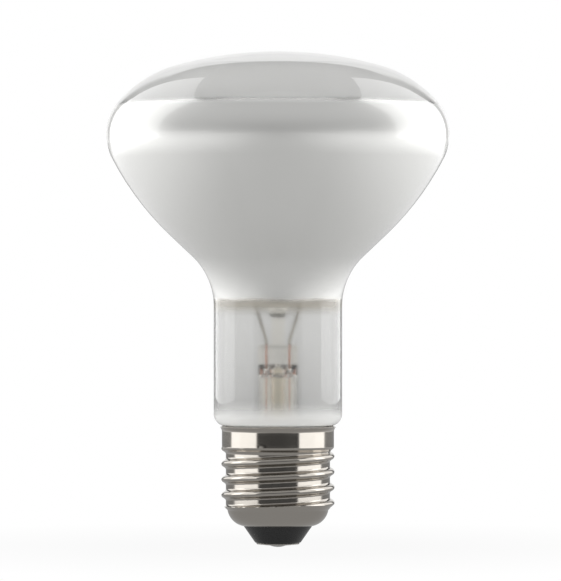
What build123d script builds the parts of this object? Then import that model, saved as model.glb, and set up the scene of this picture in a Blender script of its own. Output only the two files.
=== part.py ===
from build123d import *
import os
from math import acos, asin, cos, degrees, radians, sin, tan

# Incandescent reflector lamp, base down. The origin is at the tip of the centre contact, +Z runs along the
# axis, and the flat press of the stem faces -Y. Sizes are in millimetres and degrees.

# Bulb glass: a meridian of tangent arcs, with each angle measured off the axis
bulb_diameter = 80.0
overall_length = 115.4
glass_wall = 0.9
face_angle = 74.7  # where the shallow face meets the crown
crown_radius = 27.6
crown_angle = 41.5  # where the crown meets the rim
rim_radius = 11.9  # tight bend round the widest place
belly_angle = 27.5  # where the rim meets the long arc of the reflector
cone_length = 7.07  # straight stretch of the reflector
flare_angle = 46.6  # slope of that stretch
flare_radius = 15.9  # hollow bend from the reflector down to the neck
neck_diameter = 29.9
neck_base_rise = 3.15  # from the cap's rim to the foot of the straight neck
neck_base_radius = 2.9
seal_fillet = 1.5
seal_depth = 8.9  # the neck's sealed end below the cap's rim
seal_clearance = 0.95  # round the sealed neck, inside the thread

# Mirror coating on the inside of the reflector
mirror_film = 0.1
film_clearance = 0.05
face_depth = 12.6  # apex to the mirror's upper edge
mirror_height = 45.3

# Screw cap
cap_diameter = 26.35  # over the thread's crests
cap_height = 27.9
cap_wall = 0.3
skirt_height = 4.5
lip_radius = 1.5
lip_angle = 45.0
thread_pitch = 3.629
thread_depth = 1.05
thread_relief = 0.125  # the plain skirt's radius below the crests
crest_radius = 0.75
root_radius = 1.3
thread_sink = 0.15  # the flanks run this far below the root and cut it at an angle
thread_run_in = 0.4  # thread below the skirt at the left of the lamp
shoulder_radius = 4.5
shoulder_start = 8.8  # its slope at the shell's lower opening
shoulder_end = 80.4  # its slope under the thread
shoulder_taper = 0.38  # the shell narrows this much below the thread
taper_height = 1.0

# Insulator and centre contact
insulator_height = 3.95
insulator_tip_diameter = 10.5
insulator_lock_angle = 45.0  # how far the glass climbs the inside of the shoulder
insulator_dish = 1.4
insulator_bore = 1.8
contact_diameter = 10.0
contact_height = 0.95
contact_flange = 0.6
contact_wall = 0.3
contact_bore = 1.0
solder_diameter = 3.4
solder_height = 0.3

# Glass stem
stem_diameter = 9.3
stem_wall = 1.0
stem_height = 20.5  # sealed end of the neck to the start of the pinch
pinch_height = 3.5
press_height = 4.2
press_thickness = 3.2
press_rounding = 0.6
exhaust_diameter = 3.5
exhaust_wall = 0.6
exhaust_tail = 7.0  # below the sealed end of the neck
exhaust_tip = 4.0  # drawn-out length of the closed end
vent_diameter = 1.4
arbor_diameter = 3.2
arbor_height = 7.8  # press to the middle of the button
button_diameter = 4.3

# Wires and filament
outer_wire_diameter = 0.25
seal_wire_diameter = 0.7
inner_wire_diameter = 0.7
support_wire_diameter = 0.4
inside_bend = 0.15  # smallest inside radius of the outer leads
run_drop = 1.2  # side lead below the flare
kink_drop = 1.8  # centre lead below the exhaust tube before it turns to the axis
lead_bend = 2.0
lead_rise = 1.0  # straight out of the press
lead_angle = 17.5  # spread of the inner leads
lead_end = 2.1  # straight length under the filament
clamp_size = 1.4
support_spread = 45.0  # supports off the back of the lamp
support_grip = 1.2  # length held in the button
filament_coil = 1.0
filament_radius = 11.0
lead_clearance = 0.06
side_solder_diameter = 0.9
cement_slot = 1.2

# Radii and heights worked out from the sizes above
bulb_r = bulb_diameter / 2
neck_r = neck_diameter / 2
crest_r = cap_diameter / 2
skirt_r = crest_r - thread_relief
root_r = crest_r - thread_depth
shell_low_r = root_r - shoulder_taper
opening_r = shell_low_r - shoulder_radius * (sin(radians(shoulder_end)) - sin(radians(shoulder_start)))
lip_r = skirt_r + lip_radius * (1 - cos(radians(lip_angle)))
seal_r = root_r - cap_wall - seal_clearance
stem_r = stem_diameter / 2
bore_r = stem_r - stem_wall
exhaust_r = exhaust_diameter / 2
vent_r = vent_diameter / 2
lead_x = (bore_r + exhaust_r) / 2
outer_wire_r = outer_wire_diameter / 2
wire_bend = outer_wire_r + inside_bend

shell_base = contact_height + insulator_height
thread_base = shell_base + shoulder_radius * (cos(radians(shoulder_start)) - cos(radians(shoulder_end)))
skirt_base = cap_height - skirt_height
neck_base = cap_height + neck_base_rise
seal_z = cap_height - seal_depth
flare_bend = seal_r - glass_wall - stem_r
pinch_z = seal_z + stem_height
bore_top = pinch_z + pinch_height / 2
press_base = pinch_z + pinch_height
press_top = press_base + press_height
button_z = press_top + arbor_height
exhaust_base = seal_z - exhaust_tail
lead_slant = (filament_radius - lead_x) / tan(radians(lead_angle))
filament_z = press_top + lead_rise + lead_slant + lead_end
mirror_base = overall_length - face_depth - mirror_height


def cosine(angle):
    return cos(radians(angle))


def sine(angle):
    return sin(radians(angle))


def step_angle(step, radii):
    """Turn of two opposed tangent arcs that move sideways by step, given the sum of their radii."""
    return degrees(acos(1 - step / radii))


def shallow_dome(half_width, rise):
    """Radius and turn of an arc that leaves the axis square and climbs by rise over half_width."""
    radius = (half_width**2 + rise**2) / (2 * rise)
    return radius, degrees(asin(half_width / radius))


# The long arc of the reflector and the shallow arc of the face close the meridian on the bulb's diameter
reflector_step = (
    bulb_r
    - neck_r
    - flare_radius * (1 - cosine(flare_angle))
    - cone_length * sine(flare_angle)
    - rim_radius * (1 - cosine(belly_angle))
)
reflector_radius = reflector_step / (cosine(belly_angle) - cosine(flare_angle))
face_edge_r = (
    bulb_r
    - rim_radius * (1 - cosine(crown_angle))
    - crown_radius * (cosine(crown_angle) - cosine(face_angle))
)
face_radius = face_edge_r / cosine(face_angle)
neck_base_radii = neck_base_radius + seal_fillet
neck_base_angle = step_angle(neck_r - seal_r, neck_base_radii)
seal_top = neck_base - neck_base_radii * sine(neck_base_angle)
thread_radii = crest_radius + root_radius
thread_angle = step_angle(thread_depth + thread_sink, thread_radii)
flank_end = step_angle(thread_sink, root_radius) / 2
skirt_angle = step_angle(skirt_r - root_r, thread_radii)
shoulder_turn = shoulder_end - shoulder_start
shoulder_way = (cosine(shoulder_start), sine(shoulder_start))


def bulb_outline(inset):
    """Half section of the envelope, filled to the axis and moved inwards by inset."""
    with BuildLine() as outline:
        face = JernArc((0, overall_length - inset), (1, 0), face_radius - inset, face_angle - 90)
        crown = JernArc(face @ 1, face % 1, crown_radius - inset, crown_angle - face_angle)
        rim = JernArc(crown @ 1, crown % 1, rim_radius - inset, -crown_angle - belly_angle)
        belly = JernArc(rim @ 1, rim % 1, reflector_radius - inset, belly_angle - flare_angle)
        cone = PolarLine(belly @ 1, cone_length, direction=belly % 1)
        flare = JernArc(cone @ 1, cone % 1, flare_radius + inset, flare_angle)
        neck = Line(flare @ 1, (neck_r - inset, neck_base))
        base = JernArc(neck @ 1, (0, -1), neck_base_radius - inset, -neck_base_angle)
        hollow = JernArc(base @ 1, base % 1, seal_fillet + inset, neck_base_angle)
        seal = Line(hollow @ 1, (seal_r - inset, seal_z))
        Polyline(seal @ 1, (0, seal_z), face @ 0)
    return outline.edges()


def shoulder_foot(inset):
    """Point where the shoulder starts at the shell's lower opening, moved inwards by inset."""
    return (opening_r - inset * sine(shoulder_start), shell_base + inset * cosine(shoulder_start))


def shell_outline(inset):
    """Half section of the cap without its thread, filled to the axis and moved inwards by inset."""
    start = shoulder_foot(inset)
    step_z = skirt_base - thread_radii * sine(skirt_angle)
    lip_z = cap_height - lip_radius * sine(lip_angle)
    with BuildLine() as outline:
        shoulder = JernArc(start, shoulder_way, shoulder_radius - inset, shoulder_turn)
        taper = Line(shoulder @ 1, (root_r - inset, thread_base + taper_height))
        root = Line(taper @ 1, (root_r - inset, step_z))
        hollow = JernArc(root @ 1, (0, 1), root_radius + inset, -skirt_angle)
        corner = JernArc(hollow @ 1, hollow % 1, crest_radius - inset, skirt_angle)
        skirt = Line(corner @ 1, (skirt_r - inset, lip_z))
        lip = JernArc(skirt @ 1, (0, 1), lip_radius + inset, -lip_angle)
        Polyline(lip @ 1, (0, (lip @ 1).Y), (0, shell_base + inset), start)
    return outline.edges()


def thread_ridge(inset):
    """Rolled ridge of the thread, run out on a cone at each end and moved inwards by inset."""
    low = thread_base - thread_pitch / 2
    high = skirt_base + crest_radius
    foot_r = root_r - inset - cap_wall - thread_sink
    runout_r = shell_low_r - inset / cosine(45)
    run_in_r = skirt_r - inset / cosine(45)
    with BuildPart() as ridge:
        with BuildLine() as path:
            Helix(thread_pitch, high - low, root_r, center=(0, 0, low))
        with BuildSketch(Plane.XZ):
            with BuildLine():
                crest = JernArc((crest_r - inset, low), (0, 1), crest_radius - inset, thread_angle)
                flank = JernArc(crest @ 1, crest % 1, root_radius + inset, flank_end - thread_angle)
                Polyline(flank @ 1, (foot_r, (flank @ 1).Y), (foot_r, low))
                mirror(about=Plane.XZ.offset(-low))
            make_face()
        sweep(path=path.line, is_frenet=True)
        with BuildSketch(Plane.XZ):
            Polygon(
                (0, low - thread_pitch),
                (runout_r - thread_pitch, thread_base - thread_pitch),
                (runout_r + thread_pitch, thread_base + thread_pitch),
                (run_in_r + thread_pitch, skirt_base - thread_pitch),
                (run_in_r - thread_pitch, skirt_base + thread_pitch),
                (0, skirt_base + thread_pitch),
                align=None,
            )
        revolve(axis=Axis.Z, mode=Mode.INTERSECT)
    turn = 180 - 360 * (skirt_base - thread_run_in - low) / thread_pitch
    return ridge.part.rotate(Axis.Z, turn)


def finish(piece, name):
    """Label a piece and write it to its own file."""
    piece.label = name
    export_step(piece, f"parts/{name}.step")


os.makedirs("parts", exist_ok=True)

# Envelope, blown as one piece and open at the sealed end of its neck
with BuildPart() as bulb_glass:
    with BuildSketch(Plane.XZ):
        make_face(bulb_outline(0))
        make_face(bulb_outline(glass_wall), mode=Mode.SUBTRACT)
    revolve(axis=Axis.Z)
finish(bulb_glass.part, "bulb_glass")

# Mirror, from just above the neck to the edge of the face
film_inset = glass_wall + film_clearance
with BuildPart() as mirror_coating:
    with BuildSketch(Plane.XZ):
        make_face(bulb_outline(film_inset))
        make_face(bulb_outline(film_inset + mirror_film), mode=Mode.SUBTRACT)
        with Locations((0, mirror_base)):
            Rectangle(
                bulb_diameter, mirror_height, align=(Align.CENTER, Align.MIN), mode=Mode.INTERSECT
            )
    revolve(axis=Axis.Z)
finish(mirror_coating.part, "mirror_coating")

# Screw shell, one sheet: its thread is pressed through, so the inside has the same ridge
outer_ridge = thread_ridge(0)
inner_ridge = thread_ridge(cap_wall)
with BuildPart() as cap_shell:
    with BuildSketch(Plane.XZ):
        make_face(shell_outline(0))
    revolve(axis=Axis.Z)
    add(outer_ridge)
    with BuildSketch(Plane.XZ):
        make_face(shell_outline(cap_wall))
        with BuildLine():
            Polyline(
                (0, shell_base), (opening_r, shell_base), shoulder_foot(cap_wall), (0, shell_base + cap_wall),
                close=True,
            )
        make_face()
    revolve(axis=Axis.Z, mode=Mode.SUBTRACT)
    add(inner_ridge, mode=Mode.SUBTRACT)
finish(cap_shell.part, "cap_shell")

# Pressed glass insulator, locked in the shell's shoulder
with BuildPart() as insulator:
    with BuildSketch(Plane.XZ):
        with BuildLine():
            edge = Line((opening_r, shell_base), shoulder_foot(cap_wall))
            lock = JernArc(edge @ 1, shoulder_way, shoulder_radius - cap_wall, insulator_lock_angle)
            Polyline(
                lock @ 1,
                (insulator_bore / 2, (lock @ 1).Y - insulator_dish),
                (insulator_bore / 2, contact_height),
                (insulator_tip_diameter / 2, contact_height),
                edge @ 0,
            )
        make_face()
    revolve(axis=Axis.Z)
finish(insulator.part, "insulator")

# Centre contact, a shallow dome with a flat flange against the insulator
dome_r = contact_diameter / 2 - contact_flange
dome_rise = contact_height - contact_wall - solder_height
dome_radius, dome_angle = shallow_dome(dome_r, dome_rise)
with BuildPart() as contact_plate:
    with BuildSketch(Plane.XZ):
        with BuildLine():
            under = JernArc((0, solder_height), (1, 0), dome_radius, dome_angle)
            over = JernArc(
                (0, solder_height + contact_wall), (1, 0), dome_radius - contact_wall, dome_angle
            )
            Polyline(
                under @ 1,
                (contact_diameter / 2, contact_height - contact_wall),
                (contact_diameter / 2, contact_height),
                (dome_r, contact_height),
                over @ 1,
            )
            Line(over @ 0, under @ 0)
        make_face()
    revolve(axis=Axis.Z)
    Cylinder(contact_bore / 2, 2 * contact_height, mode=Mode.SUBTRACT)
finish(contact_plate.part, "contact_plate")

# Outer leads: the left one to the centre contact, the right one round to the cap's rim at the back
kink_z = exhaust_base - kink_drop - lead_x
with BuildPart() as outer_lead_centre:
    with BuildLine() as path:
        FilletPolyline(
            (-lead_x, 0, pinch_z),
            (-lead_x, 0, kink_z + lead_x),
            (0, 0, kink_z),
            (0, 0, solder_height / 2),
            radius=wire_bend,
        )
    with BuildSketch(Plane(path.line @ 0, z_dir=path.line % 0)):
        Circle(outer_wire_r)
    sweep(path=path.line)
finish(outer_lead_centre.part, "outer_lead_centre")

run_z = seal_z - stem_wall - run_drop
side_y = seal_r + seal_clearance / 2
over_z = cap_height + outer_wire_r + lead_clearance
with BuildPart() as outer_lead_side:
    with BuildLine() as path:
        FilletPolyline(
            (lead_x, 0, pinch_z),
            (lead_x, 0, run_z),
            (0, side_y, run_z),
            (0, side_y, seal_top - outer_wire_diameter),
            (0, skirt_r - lead_clearance, over_z),
            (0, lip_r, over_z),
            radius=wire_bend,
        )
    with BuildSketch(Plane(path.line @ 0, z_dir=path.line % 0)):
        Circle(outer_wire_r)
    sweep(path=path.line)
finish(outer_lead_side.part, "outer_lead_side")

# Solder on the centre contact, with a plug through its hole
solder_radius, solder_angle = shallow_dome(solder_diameter / 2, solder_height)
with BuildPart() as centre_solder:
    with BuildSketch(Plane.XZ):
        with BuildLine():
            drop = JernArc((0, 0), (1, 0), solder_radius, solder_angle)
            Polyline(
                drop @ 1,
                (solder_diameter / 2, solder_height + contact_wall / 2),
                (contact_bore / 2, solder_height + contact_wall / 2),
                (contact_bore / 2, solder_height + contact_wall),
                (0, solder_height + contact_wall),
                drop @ 0,
            )
        make_face()
    revolve(axis=Axis.Z)
    add(contact_plate.part, mode=Mode.SUBTRACT)
    add(outer_lead_centre.part, mode=Mode.SUBTRACT)
finish(centre_solder.part, "centre_solder")

# Solder bead on the rim at the back
with BuildPart() as side_solder:
    with Locations((0, lip_r, over_z - outer_wire_r)):
        Sphere(side_solder_diameter / 2)
    add(cap_shell.part, mode=Mode.SUBTRACT)
    add(outer_lead_side.part, mode=Mode.SUBTRACT)
finish(side_solder.part, "side_solder")

# Cement between the sealed neck and the skirt, slotted for the side lead
with BuildPart() as capping_cement:
    with BuildSketch(Plane.XY.offset(skirt_base)):
        Circle(skirt_r - cap_wall)
        Circle(seal_r, mode=Mode.SUBTRACT)
        with Locations((0, seal_r)):
            Rectangle(cement_slot, 2 * cement_slot, mode=Mode.SUBTRACT)
    extrude(amount=seal_top - skirt_base)
finish(capping_cement.part, "capping_cement")

# Wires that come in pairs: sealed in the press, up to the filament, and from the button to the coil
support_wires = []
for side, name in ((-1, "left"), (1, "right")):
    with BuildPart() as seal_wire:
        with Locations((side * lead_x, 0, pinch_z)):
            Cylinder(
                seal_wire_diameter / 2,
                press_top - pinch_z,
                align=(Align.CENTER, Align.CENTER, Align.MIN),
            )
    finish(seal_wire.part, f"seal_wire_{name}")

    with BuildPart() as inner_lead:
        with BuildLine() as path:
            FilletPolyline(
                (side * lead_x, 0, press_top),
                (side * lead_x, 0, press_top + lead_rise),
                (side * filament_radius, 0, filament_z - lead_end),
                (side * filament_radius, 0, filament_z),
                radius=lead_bend,
            )
        with BuildSketch(Plane.XY.offset(press_top)):
            with Locations((side * lead_x, 0)):
                Circle(inner_wire_diameter / 2)
        sweep(path=path.line)
        with Locations((side * filament_radius, 0, filament_z)):
            Box(clamp_size, inner_wire_diameter, clamp_size)
    finish(inner_lead.part, f"inner_lead_{name}")

    coil_foot = filament_z - filament_coil / 2 - support_wire_diameter / 2 - lead_clearance
    across = Vector(side * sine(support_spread), cosine(support_spread), 0) * filament_radius
    with BuildPart() as support_wire:
        with BuildLine() as path:
            reach = Vector(across.X, across.Y, coil_foot) - Vector(0, 0, button_z)
            grip = reach.normalized() * (button_diameter / 2 - support_grip)
            Line(Vector(0, 0, button_z) + grip, (across.X, across.Y, coil_foot))
        with BuildSketch(Plane(path.line @ 0, z_dir=path.line % 0)):
            Circle(support_wire_diameter / 2)
        sweep(path=path.line)
    finish(support_wire.part, f"support_wire_{name}")
    support_wires.append(support_wire.part)

# Filament: a bar of the coil's outside size, in a half circle round the back
with BuildPart() as filament:
    with BuildLine(Plane.XY.offset(filament_z)) as path:
        CenterArc((0, inner_wire_diameter / 2), filament_radius, 0, 180)
    with BuildSketch(Plane(path.line @ 0, z_dir=path.line % 0)):
        Circle(filament_coil / 2)
    sweep(path=path.line)
finish(filament.part, "filament")

# Stem: a flared tube whose upper end is pinched flat round the seal wires
with BuildPart() as stem_flare:
    with BuildSketch(Plane.XZ):
        with BuildLine():
            rim_edge = Polyline(
                (seal_r, seal_z - stem_wall), (seal_r, seal_z), (seal_r - glass_wall, seal_z)
            )
            trumpet = JernArc(rim_edge @ 1, (-1, 0), flare_bend, -90)
            Polyline(
                trumpet @ 1, (stem_r, press_top), (0, press_top), (0, seal_z - stem_wall), rim_edge @ 0
            )
        make_face()
    revolve(axis=Axis.Z)
    with BuildSketch(Plane.YZ):
        with BuildLine():
            pinch = Spline(
                (stem_r, pinch_z), (press_thickness / 2, press_base), tangents=((0, 1), (0, 1))
            )
            Polyline(pinch @ 1, (press_thickness / 2, press_top), (0, press_top))
            Polyline(
                pinch @ 0, (bulb_r, pinch_z), (bulb_r, seal_z - 2 * stem_wall), (0, seal_z - 2 * stem_wall)
            )
            mirror(about=Plane.YZ)
        make_face()
    extrude(amount=bulb_r, both=True, mode=Mode.INTERSECT)
    fillet(stem_flare.faces().sort_by(Axis.Z)[-1].edges(), press_rounding)
    with BuildSketch(Plane.XZ):
        with BuildLine():
            hollow = JernArc(
                (seal_r - glass_wall, seal_z - stem_wall), (-1, 0), flare_bend + stem_wall, -90
            )
            Polyline(
                hollow @ 1,
                (bore_r, pinch_z),
                (exhaust_r, bore_top),
                (0, bore_top),
                (0, seal_z - stem_wall),
                hollow @ 0,
            )
        make_face()
    revolve(axis=Axis.Z, mode=Mode.SUBTRACT)
    with Locations((-lead_x, 0, pinch_z), (lead_x, 0, pinch_z)):
        Cylinder(
            seal_wire_diameter / 2,
            press_top - pinch_z,
            align=(Align.CENTER, Align.CENTER, Align.MIN),
            mode=Mode.SUBTRACT,
        )
    with Locations((0, 0, bore_top)):
        Cylinder(
            vent_r,
            press_base - bore_top,
            align=(Align.CENTER, Align.CENTER, Align.MIN),
            mode=Mode.SUBTRACT,
        )
    with Locations(Location((0, 0, press_base), (-90, 0, 0))):
        Cylinder(
            vent_r, stem_r, align=(Align.CENTER, Align.CENTER, Align.MIN), mode=Mode.SUBTRACT
        )
finish(stem_flare.part, "stem_flare")

# Exhaust tube, melted shut at its lower end
exhaust_bore_r = exhaust_r - exhaust_wall
with BuildPart() as exhaust_tube:
    with BuildSketch(Plane.XZ):
        with BuildLine():
            Polyline(
                (0, exhaust_base),
                (exhaust_r, exhaust_base + exhaust_tip),
                (exhaust_r, bore_top),
                (exhaust_bore_r, bore_top),
                (exhaust_bore_r, exhaust_base + exhaust_tip + exhaust_wall),
                (0, exhaust_base + exhaust_tip / 2),
                close=True,
            )
        make_face()
    revolve(axis=Axis.Z)
finish(exhaust_tube.part, "exhaust_tube")

# Arbor rod on the press, with a button that grips the supports
with BuildPart() as arbor_rod:
    with Locations((0, 0, press_top)):
        Cylinder(arbor_diameter / 2, arbor_height, align=(Align.CENTER, Align.CENTER, Align.MIN))
    with Locations((0, 0, button_z)):
        Sphere(button_diameter / 2)
    add(support_wires, mode=Mode.SUBTRACT)
finish(arbor_rod.part, "arbor_rod")
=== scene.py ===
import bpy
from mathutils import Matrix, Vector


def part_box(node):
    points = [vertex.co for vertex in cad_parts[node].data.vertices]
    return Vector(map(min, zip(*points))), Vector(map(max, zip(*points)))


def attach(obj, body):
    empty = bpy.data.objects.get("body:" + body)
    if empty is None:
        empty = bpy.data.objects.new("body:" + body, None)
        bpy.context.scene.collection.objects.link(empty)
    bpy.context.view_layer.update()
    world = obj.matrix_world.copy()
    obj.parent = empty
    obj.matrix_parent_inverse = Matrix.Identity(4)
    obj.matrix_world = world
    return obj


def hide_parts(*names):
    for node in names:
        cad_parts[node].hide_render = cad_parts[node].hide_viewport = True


bl_info = {
    "name": "Reflector Lamp",
    "version": (1, 0, 0),
    "blender": (4, 5, 0),
    "location": "View3D > Sidebar > Lamp",
    "description": "Dresses the packed screw-cap reflector lamp and sets up its studio",
    "category": "Add Mesh",
}

from math import acos, atan2, ceil, copysign, cos, pi, radians, sin, sqrt, tan, tau

import bmesh
import bpy
from bpy.props import FloatProperty, FloatVectorProperty, PointerProperty
from mathutils import Matrix, Vector, noise

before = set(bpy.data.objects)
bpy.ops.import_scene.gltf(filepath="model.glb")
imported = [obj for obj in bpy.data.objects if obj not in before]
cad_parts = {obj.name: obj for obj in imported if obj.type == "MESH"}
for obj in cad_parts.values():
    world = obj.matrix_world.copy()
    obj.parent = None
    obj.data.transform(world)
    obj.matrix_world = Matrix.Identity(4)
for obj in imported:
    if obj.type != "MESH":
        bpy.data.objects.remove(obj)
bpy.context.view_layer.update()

MM = 0.001
ARC_STEP = radians(3)
ROUND_STEPS = 192
MERGE = 0.002 * MM
SHARP = radians(40)


def linear(code):
    """An sRGB hex colour as linear red, green, blue and alpha."""
    shares = [int(code[i : i + 2], 16) / 255 for i in (1, 3, 5)]
    return [s / 12.92 if s <= 0.04045 else ((s + 0.055) / 1.055) ** 2.4 for s in shares] + [1.0]


class BulbSizes(bpy.types.PropertyGroup):
    """Blown envelope and its mirror."""

    diameter: FloatProperty(
        name="Diameter", description="Widest place of the bulb", default=80 * MM, unit="LENGTH"
    )
    length: FloatProperty(
        name="Length", description="Centre contact to the top of the face", default=115.4 * MM, unit="LENGTH"
    )
    wall: FloatProperty(name="Wall", description="Glass thickness", default=0.9 * MM, unit="LENGTH")
    face_angle: FloatProperty(
        name="Face Angle",
        description="Where the face meets the crown",
        default=radians(74.7),
        unit="ROTATION",
    )
    crown_radius: FloatProperty(
        name="Crown Radius", description="Bend between face and rim", default=27.6 * MM, unit="LENGTH"
    )
    crown_angle: FloatProperty(
        name="Crown Angle",
        description="Where the crown meets the rim",
        default=radians(41.5),
        unit="ROTATION",
    )
    rim_radius: FloatProperty(
        name="Rim Radius", description="Tight bend round the widest place", default=11.9 * MM, unit="LENGTH"
    )
    belly_angle: FloatProperty(
        name="Belly Angle",
        description="Where the rim meets the long arc of the reflector",
        default=radians(27.5),
        unit="ROTATION",
    )
    cone_length: FloatProperty(
        name="Cone Length", description="Straight stretch of the reflector", default=7.07 * MM, unit="LENGTH"
    )
    flare_angle: FloatProperty(
        name="Flare Angle",
        description="Slope of the straight stretch",
        default=radians(46.6),
        unit="ROTATION",
    )
    flare_radius: FloatProperty(
        name="Flare Radius", description="Hollow bend above the neck", default=15.9 * MM, unit="LENGTH"
    )
    neck_diameter: FloatProperty(
        name="Neck Diameter", description="Outside of the straight neck", default=29.9 * MM, unit="LENGTH"
    )
    neck_base: FloatProperty(
        name="Neck Base", description="Foot of the straight neck", default=31.05 * MM, unit="LENGTH"
    )
    neck_base_radius: FloatProperty(
        name="Neck Base Radius", description="Bend at the foot of the neck", default=2.9 * MM, unit="LENGTH"
    )
    seal_fillet: FloatProperty(
        name="Seal Fillet", description="Hollow bend into the sealed end", default=1.5 * MM, unit="LENGTH"
    )
    seal_radius: FloatProperty(
        name="Seal Radius", description="Outside of the sealed end", default=10.875 * MM, unit="LENGTH"
    )
    seal_height: FloatProperty(
        name="Seal Height", description="Lower edge of the sealed end", default=19 * MM, unit="LENGTH"
    )
    mirror_base: FloatProperty(
        name="Mirror Base", description="Lower edge of the mirror", default=57.5 * MM, unit="LENGTH"
    )
    mirror_top: FloatProperty(
        name="Mirror Top", description="Upper edge of the mirror", default=102.8 * MM, unit="LENGTH"
    )
    mirror_film: FloatProperty(
        name="Mirror Film", description="Thickness that stands for the film", default=0.1 * MM, unit="LENGTH"
    )
    film_gap: FloatProperty(
        name="Film Gap", description="Film to glass", default=0.05 * MM, unit="LENGTH"
    )


class CapSizes(bpy.types.PropertyGroup):
    """Screw shell, insulator and centre contact."""

    diameter: FloatProperty(
        name="Diameter", description="Outside of the skirt", default=26.1 * MM, unit="LENGTH"
    )
    height: FloatProperty(name="Height", description="Top of the lip", default=27.9 * MM, unit="LENGTH")
    wall: FloatProperty(name="Wall", description="Sheet thickness", default=0.3 * MM, unit="LENGTH")
    skirt_base: FloatProperty(
        name="Skirt Base", description="Lower edge of the plain skirt", default=23.4 * MM, unit="LENGTH"
    )
    lip_radius: FloatProperty(
        name="Lip Radius", description="Flare at the top edge", default=1.5 * MM, unit="LENGTH"
    )
    lip_angle: FloatProperty(
        name="Lip Angle", description="Turn of the flared edge", default=radians(45), unit="ROTATION"
    )
    pitch: FloatProperty(
        name="Pitch", description="Rise of the thread in a turn", default=3.629 * MM, unit="LENGTH"
    )
    crest: FloatProperty(
        name="Crest", description="Thread radius at its crest", default=13.175 * MM, unit="LENGTH"
    )
    depth: FloatProperty(name="Depth", description="Crest to root", default=1.05 * MM, unit="LENGTH")
    crest_radius: FloatProperty(
        name="Crest Radius", description="Rounding of the crest", default=0.75 * MM, unit="LENGTH"
    )
    root_radius: FloatProperty(
        name="Root Radius", description="Rounding of the flanks", default=1.3 * MM, unit="LENGTH"
    )
    sink: FloatProperty(
        name="Flank Sink",
        description="How far the flanks run below the root",
        default=0.15 * MM,
        unit="LENGTH",
    )
    run_in: FloatProperty(
        name="Run In", description="First crest below the skirt, at the left", default=0.4 * MM, unit="LENGTH"
    )
    shoulder_radius: FloatProperty(
        name="Shoulder Radius", description="Rounding below the thread", default=4.5 * MM, unit="LENGTH"
    )
    shoulder_start: FloatProperty(
        name="Shoulder Start", description="Slope at the lower opening", default=radians(8.8), unit="ROTATION"
    )
    shoulder_end: FloatProperty(
        name="Shoulder End", description="Slope under the thread", default=radians(80.4), unit="ROTATION"
    )
    shoulder_taper: FloatProperty(
        name="Shoulder Taper", description="Narrowing below the thread", default=0.38 * MM, unit="LENGTH"
    )
    taper_height: FloatProperty(
        name="Taper Height", description="Length of that narrowing", default=1 * MM, unit="LENGTH"
    )
    shell_base: FloatProperty(
        name="Shell Base", description="Lower edge of the shell", default=4.9 * MM, unit="LENGTH"
    )
    contact_height: FloatProperty(
        name="Contact Height", description="Foot of the insulator", default=0.95 * MM, unit="LENGTH"
    )
    insulator_tip: FloatProperty(
        name="Insulator Tip", description="Diameter at the insulator's foot", default=10.5 * MM, unit="LENGTH"
    )
    contact_diameter: FloatProperty(
        name="Contact Diameter", description="Centre contact", default=10 * MM, unit="LENGTH"
    )
    solder_diameter: FloatProperty(
        name="Solder Diameter", description="Drop on the centre contact", default=3.4 * MM, unit="LENGTH"
    )


class MountSizes(bpy.types.PropertyGroup):
    """Arbor, leads and filament."""

    lead_offset: FloatProperty(
        name="Lead Offset", description="Lead to axis at the press", default=2.7 * MM, unit="LENGTH"
    )
    press_top: FloatProperty(
        name="Press Top", description="Upper face of the press", default=47.2 * MM, unit="LENGTH"
    )
    lead_diameter: FloatProperty(
        name="Lead Diameter", description="Inner lead wire", default=0.7 * MM, unit="LENGTH"
    )
    lead_angle: FloatProperty(
        name="Lead Angle", description="Spread of the inner leads", default=radians(17.5), unit="ROTATION"
    )
    filament_height: FloatProperty(
        name="Filament Height", description="Plane of the filament", default=76.62 * MM, unit="LENGTH"
    )
    filament_radius: FloatProperty(
        name="Filament Radius", description="Half circle of the filament", default=11 * MM, unit="LENGTH"
    )
    coil_diameter: FloatProperty(
        name="Coil Diameter", description="Outside of the coil", default=1 * MM, unit="LENGTH"
    )
    coil_pitch: FloatProperty(
        name="Coil Pitch", description="Turn to turn along the coil", default=0.42 * MM, unit="LENGTH"
    )
    coil_wire: FloatProperty(
        name="Coil Wire", description="Thickness of the wound wire", default=0.2 * MM, unit="LENGTH"
    )
    arbor_diameter: FloatProperty(
        name="Arbor Diameter", description="Glass rod on the press", default=3.2 * MM, unit="LENGTH"
    )
    button_diameter: FloatProperty(
        name="Button Diameter", description="Melted end of the arbor", default=4.3 * MM, unit="LENGTH"
    )
    button_height: FloatProperty(
        name="Button Height", description="Middle of the button", default=55 * MM, unit="LENGTH"
    )


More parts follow.
